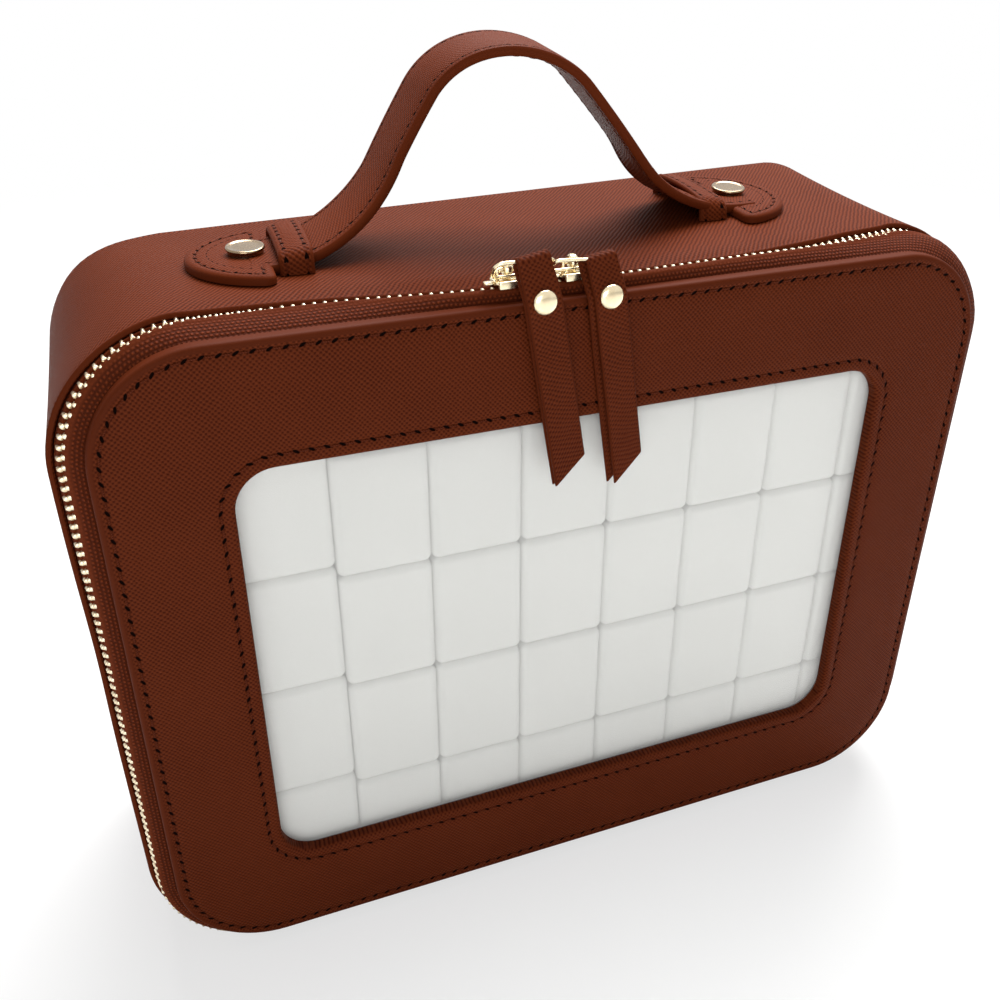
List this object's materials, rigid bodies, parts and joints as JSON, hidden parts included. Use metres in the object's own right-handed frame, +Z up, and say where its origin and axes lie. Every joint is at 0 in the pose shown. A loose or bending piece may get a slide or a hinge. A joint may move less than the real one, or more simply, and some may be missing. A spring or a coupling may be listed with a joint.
{
  "type": "mahjong case",
  "caption": "Stiff zip-around case in leather cloth with a clear window in its hinged lid, a full set of tiles inside, a strap handle on top and zip sliders with leather pulls.",
  "frame": {"origin": "centre of the footprint of the whole case, on the surface that it stands on", "axes": "+Z up, +Y from the window towards the back, +X to the right as one faces the window"},
  "size_m": [0.217, 0.0796, 0.2081],
  "materials": {
    "leather_cloth": "embossed with a fine diagonal cross-hatch, satin",
    "strap_leather": "cross-hatched face with smooth painted edges",
    "board": "grey pressed board, hidden",
    "lining": "thin smooth lining cloth",
    "foam": "soft pad",
    "tiles": "white, polished, rounded edges",
    "clear_film": "clear flexible film",
    "zip_tape": "woven twill tape",
    "zip_metal": "pale gold plated teeth",
    "gold_metal": "pale gold plate, polished"
  },
  "bodies": {
    "shell": {"gusset_leather": "leather_cloth", "back_leather": "leather_cloth", "gusset_board": "board", "back_board": "board", "shell_lining": "lining", "floor_pad": "foam", "tile_layer_1": "tiles", "tile_layer_2": "tiles", "tile_layer_3": "tiles", "tile_layer_4": "tiles", "rear_zip_tape": "zip_tape", "rear_teeth": "zip_metal", "rear_end_stops": "zip_metal", "hinge_strip": "leather_cloth", "handle_tab_left": "strap_leather", "handle_tab_right": "strap_leather", "keeper_loop_left": "strap_leather", "keeper_loop_right": "strap_leather", "stud_left": "gold_metal", "stud_right": "gold_metal", "stud_washer_left": "gold_metal", "stud_washer_right": "gold_metal"},
    "lid": {"lid_leather": "leather_cloth", "lid_board": "board", "window_film": "clear_film", "lid_lining": "lining", "front_zip_tape": "zip_tape", "front_teeth": "zip_metal", "front_end_stops": "zip_metal"},
    "handle": {"handle_strap": "strap_leather"},
    "slider_left": {"slider_left": "gold_metal"},
    "ring_left": {"ring_left": "gold_metal"},
    "pull_left": {"pull_strap_left": "strap_leather", "pull_rivet_left": "gold_metal"},
    "slider_right": {"slider_right": "gold_metal"},
    "ring_right": {"ring_right": "gold_metal"},
    "pull_right": {"pull_strap_right": "strap_leather", "pull_rivet_right": "gold_metal"}
  },
  "joints": [
    {"name": "lid_hinge", "type": "hinge", "parent": "shell", "child": "lid", "pos_m": [0, -0.032, 0.004], "axis": [1, 0, 0], "range_deg": [0, 88]},
    {"name": "handle_swing", "type": "hinge", "parent": "shell", "child": "handle", "pos_m": [-0.004, 0.0035, 0.167], "axis": [1, 0, 0], "range_deg": [-30, 30], "stiffness_Nm_per_rad": 0.15},
    {"name": "slider_left_slide", "type": "slide", "parent": "lid", "child": "slider_left", "axis": [-1, 0, 0], "range_m": [0, 0.054]},
    {"name": "ring_left_turn", "type": "hinge", "parent": "slider_left", "child": "ring_left", "pos_m": [-0.015, -0.0304, 0.16805], "axis": [-1, 0, 0], "range_deg": [0, 60]},
    {"name": "pull_left_swing", "type": "hinge", "parent": "ring_left", "child": "pull_left", "pos_m": [-0.0138, -0.0348, 0.1705], "axis": [-1, 0, 0], "range_deg": [0, 80]},
    {"name": "slider_right_slide", "type": "slide", "parent": "lid", "child": "slider_right", "axis": [1, 0, 0], "range_m": [0, 0.068]},
    {"name": "ring_right_turn", "type": "hinge", "parent": "slider_right", "child": "ring_right", "pos_m": [-0.0004, -0.0304, 0.16805], "axis": [-1, 0, 0], "range_deg": [0, 60]},
    {"name": "pull_right_swing", "type": "hinge", "parent": "ring_right", "child": "pull_right", "pos_m": [0.0013, -0.0346, 0.1691], "axis": [-1, 0, 0], "range_deg": [0, 80]}
  ]
}
